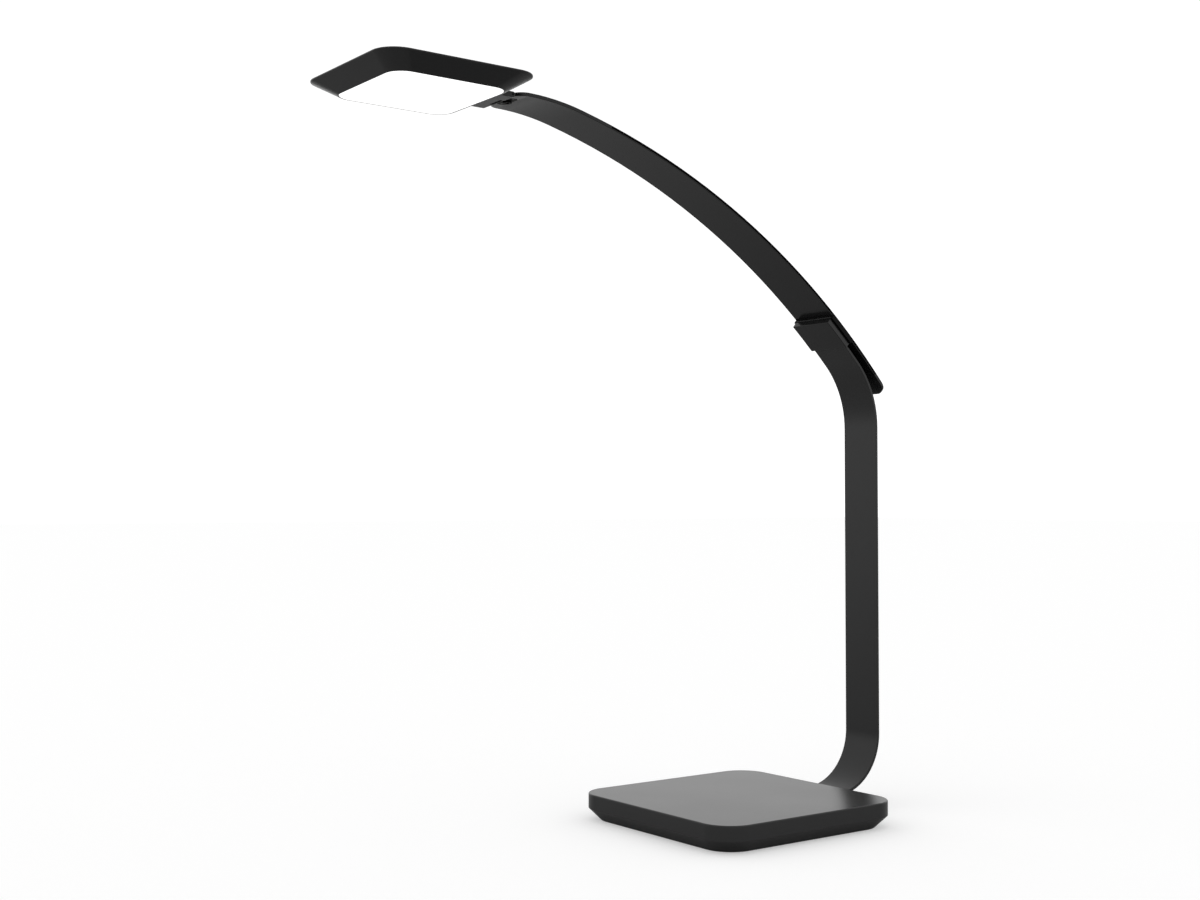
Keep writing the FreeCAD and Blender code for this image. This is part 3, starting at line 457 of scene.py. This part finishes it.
leafLow, leafHigh = (Vector(corner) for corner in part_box("leaf_screw"))
leafMiddle = (leafLow + leafHigh) / 2
addScrews("leaf_screw", leafScrew, [(leafMiddle.x, leafMiddle.y, leafLow.z)])
addScrews("plate_screws", plateScrew, cornerPlaces("plate_screws", plateScrew["head"]))


# Feet with a ring groove underneath

foot = {"radius": 7.0, "groove": (3.6, 4.8), "grooveDepth": 0.3, "edge": 0.12}


def addFeet():
    low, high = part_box("foot_pads")
    inner, outer = foot["groove"]
    depth, radius, top = foot["grooveDepth"], foot["radius"], (high[2] - low[2]) / mm
    groove = [(inner, 0), (inner, depth), (outer, depth), (outer, 0)]
    shape = lathe([(0, 0), *groove, (radius, 0), (radius, top), (0, top)])
    roundEdges(shape, sharpEdges(shape, turning["sharpAngle"]), foot["edge"])
    spread(shape, cornerPlaces("foot_pads", radius) + [(0, 0, low[2])])
    addPiece("footPads", shape, "foot_pads")


addFeet()


# Contacts of the barrel socket, which opens to +Y

contacts = {"pin": 1.03, "pinTip": 0.6, "bore": 2.74, "sleeve": 0.18, "sleeveInset": 1.2, "nose": 3.9}


def addContacts():
    low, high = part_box("dc_socket")
    floor, mouth = low[1] + contacts["nose"] * mm, high[1]
    outward = Matrix.Rotation(-math.pi / 2, 4, "X")
    place = Matrix.Translation(((low[0] + high[0]) / 2, floor, (low[2] + high[2]) / 2)) @ outward
    pinLength = (mouth - floor) / mm - contacts["nose"] / 2
    radius, tip = contacts["pin"], contacts["pinTip"]
    pin = lathe([(0, -tip), (radius, -tip), (radius, pinLength), (0, pinLength)], steps=24)
    roundEdges(pin, sharpEdges(pin, turning["sharpAngle"]), tip, segments=4)
    outer, inner = contacts["bore"], contacts["bore"] - contacts["sleeve"]
    sleeveEnd = (mouth - floor) / mm - contacts["sleeveInset"]
    sleeve = lathe([(outer, 0), (outer, sleeveEnd), (inner, sleeveEnd), (inner, 0), (outer, 0)], steps=32)
    for name, shape in (("socketPin", pin), ("socketSleeve", sleeve)):
        bmesh.ops.transform(shape, matrix=place, verts=shape.verts)
        addPiece(name, shape, "dc_socket", finish=pinSteel, slot="pin_steel")


addContacts()
print("screws, feet and contacts added")


# Stage, light and camera

studio = {
    "paper": {"side": 30.0, "white": 0.70, "lift": 0.37},  # side in metres
    "shade": {"side": 4.4, "white": 0.47, "lift": 0.0}, "shadeDrop": 0.2,  # millimetres below the paper
    "floorRoughness": 0.9,
    "sky": [(0.0, 1.0), (0.25, 0.85), (1.0, 0.6)], "skyStrength": 1.25,  # height of the ray, brightness
}


def addFloor(name, look, height):
    shape = bmesh.new()
    bmesh.ops.create_grid(shape, x_segments=1, y_segments=1, size=look["side"] / 2)
    bmesh.ops.translate(shape, vec=(0, 0, height), verts=shape.verts)
    mesh = bpy.data.meshes.new(name)
    shape.to_mesh(mesh)
    shape.free()
    floor = bpy.data.objects.new(name, mesh)
    bpy.context.scene.collection.objects.link(floor)
    grey = (look["white"],) * 3 + (1,)
    finish = Finish(name, Base_Color=grey, Roughness=studio["floorRoughness"], Specular_IOR_Level=0.0,
                    Emission_Color=(1, 1, 1, 1), Emission_Strength=look["lift"])
    mesh.materials.append(finish.material)
    return floor


def buildStage():
    # the camera sees a white paper floor; the lamp's underside is lit by a greyer one just below it
    paper = addFloor("paperFloor", studio["paper"], 0)
    paper.visible_diffuse = False
    paper.visible_glossy = False
    shade = addFloor("shadeFloor", studio["shade"], -studio["shadeDrop"] * mm)
    shade.visible_camera = False
    world = bpy.data.worlds.new("studioWhite")
    world.use_nodes = True
    sky = NodeTree(world.node_tree)
    direction = sky.add("TexCoord", output="Generated")
    height = sky.add("SeparateXYZ", None, {0: direction}, output=2)
    background = world.node_tree.nodes["Background"]
    sky.feed(background.inputs["Color"], sky.add("ValToRGB", {"stops": studio["sky"]}, {0: height}))
    sky.feed(background.inputs["Strength"], studio["skyStrength"])
    bpy.context.scene.world = world
    bpy.context.scene.view_settings.view_transform = "Standard"


photoView = {
    "place": (0.83115, -0.73380, 0.22528), "yaw": 53.496, "pitch": 1.850,  # metres and degrees
    "focal": 1567.506, "wide": 1200,  # pixels
    "sensor": 36,  # millimetres
}


def buildCamera():
    yaw, pitch = math.radians(photoView["yaw"]), math.radians(photoView["pitch"])
    right = Vector((math.cos(yaw), math.sin(yaw), 0))
    level = Vector((-math.sin(yaw), math.cos(yaw), 0))
    ahead = level * math.cos(pitch) + Vector((0, 0, math.sin(pitch)))
    upward = right.cross(ahead)
    lens = bpy.data.cameras.new("photoCamera")
    lens.sensor_width = photoView["sensor"]
    lens.lens = photoView["focal"] / photoView["wide"] * lens.sensor_width
    camera = bpy.data.objects.new("photoCamera", lens)
    bpy.context.scene.collection.objects.link(camera)
    turn = Matrix((right, upward, -ahead)).transposed().to_4x4()
    camera.matrix_world = Matrix.Translation(Vector(photoView["place"])) @ turn
    bpy.context.scene.camera = camera


buildStage()
buildCamera()
print("stage and camera ready")
